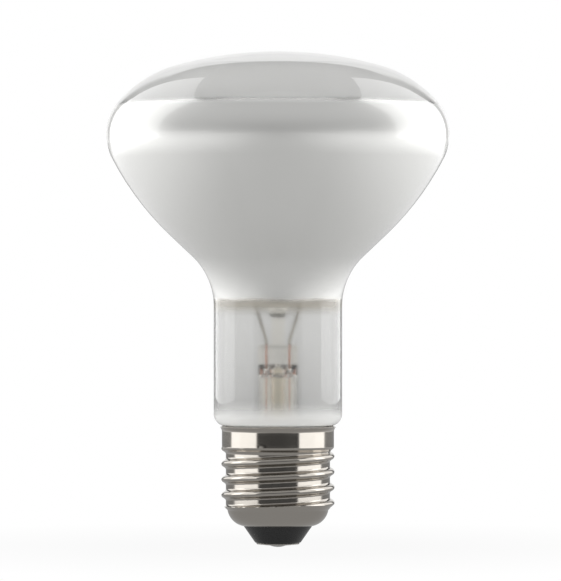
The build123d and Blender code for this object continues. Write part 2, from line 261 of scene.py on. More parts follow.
class LampColours(bpy.types.PropertyGroup):
    """Colours of the finishes, and of the painted shade below the mirror's edge."""

    glass: FloatVectorProperty(
        name="Glass", description="Soda-lime glass", size=4, subtype="COLOR", default=linear("#fcfcfb")
    )
    etched: FloatVectorProperty(
        name="Etched Glass",
        description="Etched inside wall",
        size=4,
        subtype="COLOR",
        default=linear("#fbfbfa"),
    )
    silver: FloatVectorProperty(
        name="Mirror",
        description="Aluminium film behind the glass",
        size=4,
        subtype="COLOR",
        default=linear("#e4e4e2"),
    )
    # Painted shade: a darker brownish band below the mirror's edge, standing in for the mirror's edge seen
    # through the glass
    edge_shade: FloatVectorProperty(
        name="Painted Edge Shade",
        description="Painted shade below the mirror's lower edge",
        size=4,
        subtype="COLOR",
        default=linear("#c4bfb4"),
    )
    cap: FloatVectorProperty(
        name="Cap", description="Nickel-plated shell", size=4, subtype="COLOR", default=linear("#b3aea7")
    )
    insulator: FloatVectorProperty(
        name="Insulator",
        description="Black vitreous glass",
        size=4,
        subtype="COLOR",
        default=linear("#161617"),
    )
    contact: FloatVectorProperty(
        name="Contact", description="Tinned brass", size=4, subtype="COLOR", default=linear("#c9c6c0")
    )
    solder: FloatVectorProperty(
        name="Solder", description="Tin solder", size=4, subtype="COLOR", default=linear("#c4c4c2")
    )
    stem: FloatVectorProperty(
        name="Stem", description="Lead glass", size=4, subtype="COLOR", default=linear("#fffdf8")
    )


class StudioSettings(bpy.types.PropertyGroup):
    """Camera, lamps, floor and backdrop."""

    camera_distance: FloatProperty(
        name="Camera Distance", description="Lens to the lamp's axis", default=1.1, unit="LENGTH"
    )
    frame_height: FloatProperty(
        name="Frame Height",
        description="Height of the picture at the lamp",
        default=135.35 * MM,
        unit="LENGTH",
    )
    frame_middle: FloatProperty(
        name="Frame Middle", description="Height of the picture's middle", default=59.73 * MM, unit="LENGTH"
    )
    frame_side: FloatProperty(
        name="Frame Side", description="Picture's middle right of the axis", default=0.6 * MM, unit="LENGTH"
    )
    softbox_distance: FloatProperty(
        name="Softbox Distance", description="Softboxes to the axis", default=0.4, unit="LENGTH"
    )
    softbox_azimuth: FloatProperty(
        name="Softbox Azimuth", description="Round from the camera", default=radians(116), unit="ROTATION"
    )
    softbox_width: FloatProperty(
        name="Softbox Width", description="Edge to edge", default=0.52, unit="LENGTH"
    )
    softbox_base: FloatProperty(
        name="Softbox Base", description="Lower edge above the floor", default=0.024, unit="LENGTH"
    )
    softbox_top: FloatProperty(
        name="Softbox Top", description="Upper edge above the floor", default=0.74, unit="LENGTH"
    )
    softbox_level: FloatProperty(
        name="Softbox Level", description="Brightness of the softboxes, where 1 is white", default=1.6
    )
    card_distance: FloatProperty(
        name="Card Distance", description="Bounce cards to the axis", default=0.22, unit="LENGTH"
    )
    card_azimuth: FloatProperty(
        name="Card Azimuth", description="Round from the camera", default=radians(76), unit="ROTATION"
    )
    card_width: FloatProperty(name="Card Width", description="Edge to edge", default=0.28, unit="LENGTH")
    card_top: FloatProperty(name="Card Top", description="Height of the cards", default=0.25, unit="LENGTH")
    card_level: FloatProperty(
        name="Card Level", description="Brightness of the cards, where 1 is white", default=1.2
    )
    fill: FloatProperty(name="Fill", description="Level of the studio round the lamp", default=0.03)
    front: FloatProperty(name="Front", description="Level of the studio above the camera", default=0.5)
    # Floor Level and Shade set the painted reflection that metal sees in the floor: darker near the lamp and
    # towards the camera
    floor_level: FloatProperty(
        name="Floor Level", description="Floor round the lamp, as metal mirrors it", default=0.45
    )
    shade: FloatProperty(
        name="Shade", description="Level of the dark floor towards the camera", default=0.08
    )
    floor: FloatVectorProperty(
        name="Floor", description="Pale floor", size=4, subtype="COLOR", default=linear("#f0f0ee")
    )


def add_node(tree, kind, inputs=None, **options):
    """Add a node, set its options, and give each input a value or a link."""
    node = tree.nodes.new(kind)
    for option, value in options.items():
        setattr(node, option, value)
    for socket, value in (inputs or {}).items():
        if isinstance(value, bpy.types.NodeSocket):
            tree.links.new(value, node.inputs[socket])
        else:
            node.inputs[socket].default_value = value
    return node


def start_material(name):
    """A new material with an empty node tree, or None if an earlier piece has made it."""
    if name in bpy.data.materials:
        return None
    material = bpy.data.materials.new(name)
    material.use_nodes = True
    material.node_tree.nodes.clear()
    return material.node_tree


def end_material(tree, name, shader):
    """Join the shader to the output and return the material."""
    add_node(tree, "ShaderNodeOutputMaterial", {"Surface": shader.outputs[0]})
    return bpy.data.materials[name]


def object_height(tree):
    """Object coordinates and their height above the centre contact."""
    place = add_node(tree, "ShaderNodeTexCoord").outputs["Object"]
    height = add_node(tree, "ShaderNodeSeparateXYZ", {"Vector": place}).outputs["Z"]
    return place, height


def silvered_glass(bulb, colours):
    """Soda-lime glass, blown, with an aluminium film behind it between the mirror's edges."""
    name = "silvered soda-lime glass"
    tree = start_material(name)
    if tree is None:
        return bpy.data.materials[name]
    # The eye sees a sharp gloss on the glass over a soft satin mirror, and clear glass where the film ends;
    # just below the film's edge a darker brownish band of painted shade stands in for the mirror's edge seen
    # through the glass
    place, height = object_height(tree)
    wobble = add_node(tree, "ShaderNodeTexNoise", {"Vector": place, "Scale": 1 / (6 * MM), "Detail": 2.0})
    edge = add_node(
        tree, "ShaderNodeMath", {0: wobble.outputs["Fac"], 1: 0.8 * MM, 2: height}, operation="MULTIPLY_ADD"
    ).outputs[0]
    # Soft steps: the painted shade band below the film's edge, the full film's edge, the mirror's top and the
    # foot of the neck
    steps = []
    for value, start, end in (
        (edge, bulb.mirror_base - 3.4 * MM, bulb.mirror_base - 0.6 * MM),
        (edge, bulb.mirror_base - 0.4 * MM, bulb.mirror_base + 1.4 * MM),
        (height, bulb.mirror_top + 1 * MM, bulb.mirror_top - 1 * MM),
        (height, bulb.neck_base + 4 * MM, bulb.neck_base - 2 * MM),
    ):
        span = {"Value": value, "From Min": start, "From Max": end}
        step = add_node(tree, "ShaderNodeMapRange", span, interpolation_type="SMOOTHSTEP")
        steps.append(step.outputs[0])
    edge_shade, full, high, foot = steps
    edge_shade_cover, face_veil, foot_veil = 0.4, 0.24, 0.6
    # The band below the film's edge is painted shade, standing in for the mirror's edge seen through the
    # glass: it darkens the glass there and makes it less clear
    edge_shade_share = add_node(tree, "ShaderNodeMath", {0: edge_shade, 1: edge_shade_cover}, operation="MULTIPLY").outputs[0]
    cover = add_node(tree, "ShaderNodeMath", {0: full, 1: edge_shade_share}, operation="MAXIMUM").outputs[0]
    film = add_node(tree, "ShaderNodeMath", {0: cover, 1: high}, operation="MULTIPLY").outputs[0]
    solid = add_node(tree, "ShaderNodeMath", {0: full, 1: high}, operation="MULTIPLY").outputs[0]
    top = add_node(
        tree, "ShaderNodeMath", {0: high, 1: -face_veil, 2: face_veil}, operation="MULTIPLY_ADD"
    ).outputs[0]
    milky = add_node(
        tree, "ShaderNodeMath", {0: foot, 1: foot_veil, 2: top}, operation="MULTIPLY_ADD"
    ).outputs[0]
    matt = add_node(tree, "ShaderNodeMath", {0: film, 1: milky}, operation="MAXIMUM").outputs[0]
    clear = add_node(tree, "ShaderNodeMath", {0: 1.0, 1: matt}, operation="SUBTRACT").outputs[0]
    metal = add_node(tree, "ShaderNodeMath", {0: solid, 1: 0.75}, operation="MULTIPLY").outputs[0]
    rough = add_node(tree, "ShaderNodeMath", {0: film, 1: 0.42}, operation="MULTIPLY").outputs[0]
    glass = list(colours.glass)
    colour = glass
    # edge_shade colours the painted shade band and silver colours the mirror
    for share, tone in ((edge_shade, colours.edge_shade), (full, colours.silver)):
        ends = {"Factor": share, 6: colour, 7: list(tone)}
        colour = add_node(tree, "ShaderNodeMix", ends, data_type="RGBA").outputs[2]
    colour = add_node(
        tree, "ShaderNodeMix", {"Factor": high, 6: glass, 7: colour}, data_type="RGBA"
    ).outputs[2]
    shader = add_node(
        tree,
        "ShaderNodeBsdfPrincipled",
        {
            "Base Color": colour,
            "Metallic": metal,
            "Roughness": rough,
            "IOR": 1.5,
            "Transmission Weight": clear,
            "Coat Weight": film,
            "Coat Roughness": 0.0,
            "Coat IOR": 1.5,
        },
    )
    return end_material(tree, name, shader)


def etched_glass(bulb, colours):
    """Soda-lime glass etched with acid: lightly in the neck and heavily on the face."""
    name = "etched soda-lime glass"
    tree = start_material(name)
    if tree is None:
        return bpy.data.materials[name]
    # The eye sees what is inside the neck blurred, and the face as an even white veil
    place, height = object_height(tree)
    grain = add_node(tree, "ShaderNodeTexNoise", {"Vector": place, "Scale": 1 / (1.5 * MM), "Detail": 3.0})
    # Roughness of the neck, what the face adds to it, and how clear the glass is
    ranges = []
    for low, high, first, last in (
        (bulb.neck_base, bulb.mirror_base, 0.14, 0.22),
        (bulb.mirror_base, bulb.mirror_top, 0.0, 0.4),
        (bulb.mirror_base, bulb.mirror_top, 0.97, 0.3),
    ):
        span = {"Value": height, "From Min": low, "From Max": high, "To Min": first, "To Max": last}
        ranges.append(add_node(tree, "ShaderNodeMapRange", span).outputs[0])
    neck, face, clear = ranges
    etch = add_node(tree, "ShaderNodeMath", {0: neck, 1: face}).outputs[0]
    rough = add_node(
        tree, "ShaderNodeMath", {0: grain.outputs["Fac"], 1: 0.03, 2: etch}, operation="MULTIPLY_ADD"
    )
    shader = add_node(
        tree,
        "ShaderNodeBsdfPrincipled",
        {
            "Base Color": list(colours.etched),
            "Roughness": rough.outputs[0],
            "IOR": 1.5,
            "Transmission Weight": clear,
        },
    )
    return end_material(tree, name, shader)


def plain_metal(name, colour, roughness, spread, grain):
    """A metal whose roughness varies by spread over patches of the grain's size."""
    tree = start_material(name)
    if tree is None:
        return bpy.data.materials[name]
    place, _ = object_height(tree)
    patches = add_node(tree, "ShaderNodeTexNoise", {"Vector": place, "Scale": 1 / grain, "Detail": 4.0})
    rough = add_node(
        tree,
        "ShaderNodeMapRange",
        {"Value": patches.outputs["Fac"], "To Min": roughness - spread, "To Max": roughness + spread},
    )
    bump = add_node(
        tree,
        "ShaderNodeBump",
        {"Strength": 0.15, "Distance": 0.02 * MM, "Height": patches.outputs["Fac"]},
    )
    shader = add_node(
        tree,
        "ShaderNodeBsdfPrincipled",
        {
            "Base Color": list(colour),
            "Metallic": 1.0,
            "Roughness": rough.outputs[0],
            "Normal": bump.outputs[0],
        },
    )
    return end_material(tree, name, shader)


def vitreous_glass(colours):
    """Vitreous insulator glass, pressed hot into the cap."""
    name = "black pressed glass"
    tree = start_material(name)
    if tree is None:
        return bpy.data.materials[name]
    # The eye sees a deep black with soft grey gloss, slightly uneven where the glass set against the die
    place, _ = object_height(tree)
    waves = add_node(tree, "ShaderNodeTexNoise", {"Vector": place, "Scale": 1 / (2.5 * MM), "Detail": 2.0})
    rough = add_node(
        tree, "ShaderNodeMapRange", {"Value": waves.outputs["Fac"], "To Min": 0.2, "To Max": 0.34}
    )
    bump = add_node(
        tree, "ShaderNodeBump", {"Strength": 0.3, "Distance": 0.05 * MM, "Height": waves.outputs["Fac"]}
    )
    shader = add_node(
        tree,
        "ShaderNodeBsdfPrincipled",
        {
            "Base Color": list(colours.insulator),
            "Roughness": rough.outputs[0],
            "IOR": 1.52,
            "Normal": bump.outputs[0],
        },
    )
    return end_material(tree, name, shader)


def stem_glass(colours):
    """Lead glass of the stem, drawn tube worked in a flame."""
    name = "flame-worked lead glass"
    tree = start_material(name)
    if tree is None:
        return bpy.data.materials[name]
    # The eye sees creamy bright streaks along the tube walls
    place, _ = object_height(tree)
    cords = add_node(tree, "ShaderNodeMapping", {"Vector": place, "Scale": (1, 1, 0.08)})
    lines = add_node(
        tree, "ShaderNodeTexNoise", {"Vector": cords.outputs[0], "Scale": 1 / (0.8 * MM), "Detail": 2.0}
    )
    bump = add_node(
        tree, "ShaderNodeBump", {"Strength": 0.2, "Distance": 0.05 * MM, "Height": lines.outputs["Fac"]}
    )
    shader = add_node(
        tree,
        "ShaderNodeBsdfPrincipled",
        {
            "Base Color": list(colours.stem),
            "Roughness": 0.03,
            "IOR": 1.56,
            "Transmission Weight": 1.0,
            "Normal": bump.outputs[0],
        },
    )
    return end_material(tree, name, shader)


def cement():
    """Capping cement, a baked resin and marble paste."""
    name = "capping cement"
    tree = start_material(name)
    if tree is None:
        return bpy.data.materials[name]
    # The eye sees a matt grey-white paste with fine grit
    place, _ = object_height(tree)
    grit = add_node(tree, "ShaderNodeTexNoise", {"Vector": place, "Scale": 1 / (0.3 * MM), "Detail": 3.0})
    colour = add_node(
        tree,
        "ShaderNodeMix",
        {"Factor": grit.outputs["Fac"], 6: linear("#dcd7cc"), 7: linear("#f1eee6")},
        data_type="RGBA",
    )
    bump = add_node(
        tree, "ShaderNodeBump", {"Strength": 0.5, "Distance": 0.05 * MM, "Height": grit.outputs["Fac"]}
    )
    shader = add_node(
        tree,
        "ShaderNodeBsdfPrincipled",
        {"Base Color": colour.outputs[2], "Roughness": 0.85, "Normal": bump.outputs[0]},
    )
    return end_material(tree, name, shader)


def nickel_wire():
    """Drawn nickel wire of the leads and supports."""
    # The eye sees thin grey wires with a line of gloss
    return plain_metal("drawn nickel wire", linear("#b9b4aa"), 0.25, 0.06, 0.4 * MM)


class Pen:
    """Carries a point or a ring along straight runs and tangent bends in the XZ plane, by spinning it."""

    def __init__(self, bm, geom, x, z, heading=0.0):
        self.bm, self.geom = bm, geom
        self.at = Vector((x, 0, z))
        self.heading = heading

    def carry(self, steps, **turn):
        made = bmesh.ops.spin(self.bm, geom=self.geom, steps=steps, axis=(0, 1, 0), **turn)
        self.geom = made["geom_last"]

    def run(self, length, steps=1):
        leg = Vector((cos(self.heading), 0, sin(self.heading))) * length
        self.carry(steps, cent=self.at, angle=0.0, dvec=leg / steps)
        self.at = self.at + leg

    def to(self, x, z, steps=1):
        leg = Vector((x, 0, z)) - self.at
        self.heading = atan2(leg.z, leg.x)
        self.run(leg.length, steps)

    def bend(self, radius, turn):
        side = Vector((-sin(self.heading), 0, cos(self.heading))) * copysign(radius, turn)
        centre = self.at + side
        self.carry(max(1, ceil(abs(turn) / ARC_STEP)), cent=centre, angle=-turn)
        self.at = centre + Matrix.Rotation(-turn, 3, "Y") @ -side
        self.heading += turn


def pen_at(bm, x, z, heading=0.0):
    """A pen that starts with one point of a half section."""
    return Pen(bm, [bm.verts.new((x, 0, z))], x, z, heading)


def turn_round(bm, steps=ROUND_STEPS):
    """Spin the drawn half section round the axis, close it and point its faces outwards."""
    bmesh.ops.spin(
        bm,
        geom=bm.verts[:] + bm.edges[:],
        cent=(0, 0, 0),
        axis=(0, 0, 1),
        angle=tau,
        steps=steps,
        use_merge=True,
    )
    bmesh.ops.remove_doubles(bm, verts=bm.verts[:], dist=MERGE)
    bmesh.ops.recalc_face_normals(bm, faces=bm.faces[:])
    bm.normal_update()
    rim = max(bm.faces, key=lambda face: face.calc_center_median().xy.length)
    if rim.normal.xy.dot(rim.calc_center_median().xy) < 0:
        bmesh.ops.reverse_faces(bm, faces=bm.faces[:])


def thicken(bm, wall):
    """Give the spun sheet its wall on the inside, and return the faces of that side."""
    outer = set(bm.faces)
    bmesh.ops.solidify(bm, geom=bm.faces[:], thickness=wall)
    return [f for f in bm.faces if f not in outer]


def finish_piece(bm, name, materials, slot, *nodes):
    """Turn the bmesh into a piece that rides on the lamp and stands for its CAD nodes."""
    mesh = bpy.data.meshes.new(name)
    bm.to_mesh(mesh)
    bm.free()
    for material in materials:
        mesh.materials.append(material)
    mesh.shade_smooth()
    mesh.set_sharp_from_angle(angle=SHARP)
    piece = bpy.data.objects.new(name, mesh)
    bpy.context.scene.collection.objects.link(piece)
    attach(piece, "root")
    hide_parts(*nodes)
    return piece


def dress_node(node, material):
    """Give a CAD node that keeps its shape a better material."""
    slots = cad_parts[node].data.materials
    slots.clear()
    slots.append(material)


def step_angle(step, radii):
    """Turn of two opposed tangent arcs that move sideways by step, given the sum of their radii."""
    return acos(1 - step / radii)


def draw_bulb(bm, bulb, inset):
    """Half section of the envelope from the apex to the sealed end, moved inwards by inset."""
    neck = bulb.neck_diameter / 2
    belly, flare, crown, face = bulb.belly_angle, bulb.flare_angle, bulb.crown_angle, bulb.face_angle
    step = (
        bulb.diameter / 2
        - neck
        - bulb.flare_radius * (1 - cos(flare))
        - bulb.cone_length * sin(flare)
        - bulb.rim_radius * (1 - cos(belly))
    )
    reflector = step / (cos(belly) - cos(flare))
    face_edge = (
        bulb.diameter / 2
        - bulb.rim_radius * (1 - cos(crown))
        - bulb.crown_radius * (cos(crown) - cos(face))
    )
    base_angle = step_angle(neck - bulb.seal_radius, bulb.neck_base_radius + bulb.seal_fillet)
    pen = pen_at(bm, 0, bulb.length - inset)
    pen.bend(face_edge / cos(face) - inset, face - pi / 2)
    pen.bend(bulb.crown_radius - inset, crown - face)
    pen.bend(bulb.rim_radius - inset, -crown - belly)
    pen.bend(reflector - inset, belly - flare)
    pen.run(bulb.cone_length, 4)
    pen.bend(bulb.flare_radius + inset, flare)
    pen.to(neck - inset, bulb.neck_base, 16)
    pen.bend(bulb.neck_base_radius - inset, -base_angle)
    pen.bend(bulb.seal_fillet + inset, base_angle)
    pen.to(bulb.seal_radius - inset, bulb.seal_height, 4)


def shoulder_ends(cap):
    """Radius of the shell below the thread, where it starts, and radius of the lower opening."""
    low = cap.crest - cap.depth - cap.shoulder_taper
    top = cap.shell_base + cap.shoulder_radius * (cos(cap.shoulder_start) - cos(cap.shoulder_end))
    opening = low - cap.shoulder_radius * (sin(cap.shoulder_end) - sin(cap.shoulder_start))
    return low, top, opening


def thread_radius(cap, place, plain):
    """Radius of the cap at a place: the plain shell, or the rolled ridge where that stands proud."""
    first = cap.skirt_base - cap.run_in + cap.pitch * (atan2(place.y, place.x) / tau - 0.5)
    off = abs((place.z - first + cap.pitch / 2) % cap.pitch - cap.pitch / 2)
    turn = step_angle(cap.depth + cap.sink, cap.crest_radius + cap.root_radius)
    if off < cap.crest_radius * sin(turn):
        ridge = cap.crest - cap.crest_radius + sqrt(cap.crest_radius**2 - off**2)
    else:
        rest = (cap.crest_radius + cap.root_radius) * sin(turn) - off
        ridge = cap.crest - cap.depth - cap.sink + cap.root_radius - sqrt(cap.root_radius**2 - rest**2)
    low, top, _ = shoulder_ends(cap)
    run_out = low + place.z - top
    run_in = cap.diameter / 2 + cap.skirt_base - place.z
    return max(plain, min(ridge, run_out, run_in))


class LAMP_OT_bulb(bpy.types.Operator):
    """Blow the glass envelope: one wall, etched on its inside"""

    bl_idname = "lamp.bulb"
    bl_label = "Glass Envelope"

    def execute(self, context):
        bulb, colours = context.scene.lamp_bulb, context.scene.lamp_colours
        bm = bmesh.new()
        draw_bulb(bm, bulb, 0)
        turn_round(bm)
        for face in thicken(bm, bulb.wall):
            face.material_index = 1
        finish_piece(
            bm,
            "glass_envelope",
            [silvered_glass(bulb, colours), etched_glass(bulb, colours)],
            "envelope_glass",
            "bulb_glass",
        )
        return {"FINISHED"}


class LAMP_OT_mirror(bpy.types.Operator):
    """Lay the aluminium film on the inside of the reflector"""

    bl_idname = "lamp.mirror"
    bl_label = "Mirror Film"

    def execute(self, context):
        bulb, colours = context.scene.lamp_bulb, context.scene.lamp_colours
        bm = bmesh.new()
        draw_bulb(bm, bulb, bulb.wall + bulb.film_gap)
        turn_round(bm)
        for height, up in ((bulb.mirror_base, -1), (bulb.mirror_top, 1)):
            bmesh.ops.bisect_plane(
                bm,
                geom=bm.verts[:] + bm.edges[:] + bm.faces[:],
                plane_co=(0, 0, height),
                plane_no=(0, 0, up),
                clear_outer=True,
            )
        thicken(bm, bulb.mirror_film)
        # The eye sees an even, slightly soft silver on the inside
        film = plain_metal("vapour-deposited aluminium", colours.silver, 0.2, 0.05, 3 * MM)
        finish_piece(bm, "mirror_film", [film], "mirror_film", "mirror_coating")
        return {"FINISHED"}


class LAMP_OT_cap(bpy.types.Operator):
    """Draw the screw shell from sheet and roll its thread"""

    bl_idname = "lamp.cap"
    bl_label = "Screw Shell"

    def execute(self, context):
        cap, colours = context.scene.lamp_cap, context.scene.lamp_colours
        skirt = cap.diameter / 2
        root = cap.crest - cap.depth
        _, top, opening = shoulder_ends(cap)
        radii = cap.crest_radius + cap.root_radius
        corner = step_angle(skirt - root, radii)
        bm = bmesh.new()
        pen = pen_at(bm, opening, cap.shell_base, cap.shoulder_start)
        pen.bend(cap.shoulder_radius, cap.shoulder_end - cap.shoulder_start)
        pen.to(root, top + cap.taper_height, 10)
        pen.to(root, cap.skirt_base - radii * sin(corner), 116)
        pen.heading = pi / 2
        pen.bend(cap.root_radius, -corner)
        pen.bend(cap.crest_radius, corner)
        pen.to(skirt, cap.height - cap.lip_radius * sin(cap.lip_angle), 4)
        pen.bend(cap.lip_radius, -cap.lip_angle)
        turn_round(bm)
        for vert in bm.verts:
            plain = vert.co.xy.length
            vert.co.xy *= thread_radius(cap, vert.co, plain) / plain
        thicken(bm, cap.wall)
        # The eye sees bright warm grey metal that mirrors the studio in sharp stripes
        plated = plain_metal("bright nickel plate on brass", colours.cap, 0.12, 0.03, 2 * MM)
        finish_piece(bm, "screw_shell", [plated], "cap_metal", "cap_shell")
        return {"FINISHED"}


class LAMP_OT_insulator(bpy.types.Operator):
    """Press the black glass insulator into the shoulder"""

    bl_idname = "lamp.insulator"
    bl_label = "Insulator"

    def execute(self, context):
        cap, colours = context.scene.lamp_cap, context.scene.lamp_colours
        _, _, opening = shoulder_ends(cap)
        bm = bmesh.new()
        bore, rounding, dish = 0.9 * MM, 0.35 * MM, 1.4 * MM
        pen = pen_at(bm, bore, cap.contact_height)
        pen.to(cap.insulator_tip / 2 - rounding, cap.contact_height)
        slope = atan2(cap.shell_base - cap.contact_height, opening - cap.insulator_tip / 2)
        pen.bend(rounding / tan(slope / 2), slope)
        pen.to(opening, cap.shell_base, 6)
        start = cap.shoulder_start
        pen.to(opening - cap.wall * sin(start), cap.shell_base + cap.wall * cos(start))
        pen.heading = start
        pen.bend(cap.shoulder_radius - cap.wall, pi / 4)
        pen.to(bore, pen.at.z - dish, 4)
        pen.to(bore, cap.contact_height)
        turn_round(bm, 128)
        finish_piece(bm, "black_insulator", [vitreous_glass(colours)], "insulator_glass", "insulator")
        return {"FINISHED"}


class LAMP_OT_contact(bpy.types.Operator):
    """Stamp the centre contact and drop the solder on it and on the rim"""

    bl_idname = "lamp.contact"
    bl_label = "Centre Contact and Solder"

    def execute(self, context):
        cap, colours = context.scene.lamp_cap, context.scene.lamp_colours
        edge, top = cap.contact_diameter / 2, cap.contact_height
        wall, flange, foot, bore = 0.3 * MM, 0.6 * MM, 0.3 * MM, 0.5 * MM
        half = edge - flange
        rise = top - wall - foot
        radius = (half**2 + rise**2) / (2 * rise)
        turn = atan2(half, radius - rise)
        start = bore / radius
        bore_height = foot + radius - sqrt(radius**2 - bore**2)
        bm = bmesh.new()
        pen = pen_at(bm, bore, bore_height, start)
        pen.bend(radius, turn - start)
        pen.to(edge - wall / 2, top - wall)
        pen.heading = 0.0
        pen.bend(wall / 2, pi)
        pen.to(half, top)
        pen.heading = pi + turn
        pen.bend(radius - wall, -(turn - start))
        pen.to(bore, bore_height)
        turn_round(bm, 96)
        # The eye sees a dull pale metal with soft highlights
        tinned = plain_metal("tinned brass", colours.contact, 0.3, 0.08, 1.5 * MM)
        finish_piece(bm, "centre_contact", [tinned], "contact_metal", "contact_plate")

        # The eye sees a frosted silver drop with cloudy patches
        solder = plain_metal("tin solder", colours.solder, 0.38, 0.12, 0.8 * MM)
        lean, bead = 0.1 * MM, 0.45 * MM
        bm = bmesh.new()
        half = cap.solder_diameter / 2
        pen = pen_at(bm, 0, 0)
        drop = (half**2 + foot**2) / (2 * foot)
        pen.bend(drop, atan2(half, drop - foot))
        pen.to(half - lean, foot + wall / 2)
        pen.to(0, foot + wall)
        turn_round(bm, 64)
        for vert in bm.verts:
            wave = noise.noise(vert.co / (0.9 * MM))
            vert.co.xy *= 1 + 0.04 * wave
        finish_piece(bm, "solder_drop", [solder], "solder", "centre_solder")

        low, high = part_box("side_solder")
        bm = bmesh.new()
        bmesh.ops.create_uvsphere(bm, u_segments=32, v_segments=20, radius=bead)
        for vert in bm.verts:
            vert.co *= 1 + 0.08 * noise.noise(vert.co / (0.5 * MM))
        bmesh.ops.translate(bm, verts=bm.verts[:], vec=(low + high) / 2)
        finish_piece(bm, "rim_solder", [solder], "solder", "side_solder")
        return {"FINISHED"}


class LAMP_OT_stem(bpy.types.Operator):
    """Work the glass stem: its tube and press, the arbor and its button"""

    bl_idname = "lamp.stem"
    bl_label = "Glass Stem"

    def execute(self, context):
        mount, colours = context.scene.lamp_mount, context.scene.lamp_colours
        glass = stem_glass(colours)
        rod, button = mount.arbor_diameter / 2, mount.button_diameter / 2
        join = sqrt(button**2 - rod**2)
        bm = bmesh.new()
        pen = pen_at(bm, 0, mount.press_top)
        pen.to(rod, mount.press_top)
        pen.to(rod, mount.button_height - join, 8)
        pen.heading = pi / 2 - atan2(join, rod)
        pen.bend(button, pi / 2 + atan2(join, rod))
        turn_round(bm, 64)
        finish_piece(bm, "arbor", [glass], "stem_glass", "arbor_rod")
        for node in ("stem_flare", "exhaust_tube"):
            dress_node(node, glass)
        dress_node("capping_cement", cement())
        # The eye sees thin pinkish lines in the glass of the stem
        copper = plain_metal("copper-clad wire", linear("#b87352"), 0.3, 0.06, 0.5 * MM)
        for node in ("outer_lead_centre", "outer_lead_side", "seal_wire_left", "seal_wire_right"):
            dress_node(node, copper)
        return {"FINISHED"}


class LAMP_OT_mount(bpy.types.Operator):
    """Wind the filament, bend its leads and dress its supports"""

    bl_idname = "lamp.mount"
    bl_label = "Filament and Wires"

    def execute(self, context):
        mount = context.scene.lamp_mount
        ring, level = mount.filament_radius, mount.filament_height
        corner, rise, past = 2 * MM, 1 * MM, 0.7 * MM
        for side, name in ((-1, "left"), (1, "right")):
            bm = bmesh.new()
            bmesh.ops.create_circle(
                bm,
                segments=16,
                radius=mount.lead_diameter / 2,
                cap_ends=True,
                matrix=Matrix.Translation((mount.lead_offset, 0, mount.press_top)),
            )
            pen = Pen(bm, bm.faces[:], mount.lead_offset, mount.press_top, pi / 2)
            half = corner * tan(mount.lead_angle / 2)
            pen.run(rise - half)
            pen.bend(corner, -mount.lead_angle)
            slant = (ring - mount.lead_offset) / sin(mount.lead_angle)
            pen.run(slant - 2 * half, 12)
            pen.bend(corner, mount.lead_angle)
            pen.run(level - pen.at.z + past)
            bmesh.ops.scale(bm, verts=bm.verts[:], vec=(side, 1, 1))
            bmesh.ops.remove_doubles(bm, verts=bm.verts[:], dist=MERGE)
            bmesh.ops.recalc_face_normals(bm, faces=bm.faces[:])
            finish_piece(bm, f"lead_{name}", [nickel_wire()], "nickel_wire", f"inner_lead_{name}")
        dress_node("support_wire_left", nickel_wire())
        dress_node("support_wire_right", nickel_wire())

        bm = bmesh.new()
        length = pi * ring
        turns = round(length / mount.coil_pitch)
        wound = (mount.coil_diameter - mount.coil_wire) / 2
        per_turn, offset = 12, 0.35 * MM
        bmesh.ops.create_circle(
            bm,
            segments=6,
            radius=mount.coil_wire / 2,
            cap_ends=True,
            matrix=Matrix.Translation((0, wound, 0)),
        )
        bmesh.ops.spin(
            bm,
            geom=bm.faces[:],
            cent=(0, 0, 0),
            axis=(1, 0, 0),
            angle=tau * turns,
            dvec=(length / (turns * per_turn), 0, 0),
            steps=turns * per_turn,
        )
        bmesh.ops.recalc_face_normals(bm, faces=bm.faces[:])
        for vert in bm.verts:
            turn = vert.co.x / ring
            out = ring + vert.co.y
            vert.co = (out * cos(turn), out * sin(turn) + offset, vert.co.z + level)
        # The eye sees a fine dark grey coil
        tungsten = plain_metal("drawn tungsten", linear("#8d8a86"), 0.3, 0.08, 0.3 * MM)
        finish_piece(bm, "coiled_filament", [tungsten], "tungsten", "filament")
        return {"FINISHED"}


def hang_panel(name, azimuth, distance, width, heights, level, lit=None):
    """A soft panel that faces the axis and lights all pieces or the lit ones, unseen by camera and glass."""
    low, high = heights
    lamp = bpy.data.lights.new(name, "AREA")
    lamp.shape = "RECTANGLE"
    lamp.size, lamp.size_y = width, high - low
    lamp.energy = level * pi * lamp.size * lamp.size_y
    panel = bpy.data.objects.new(name, lamp)
    way = Vector((sin(azimuth), -cos(azimuth), 0))
    panel.location = way * distance + Vector((0, 0, (low + high) / 2))
    panel.rotation_euler = (-way).to_track_quat("-Z", "Y").to_euler()
    panel.visible_camera = False
    panel.visible_transmission = False
    panel.light_linking.receiver_collection = lit
    bpy.context.scene.collection.objects.link(panel)


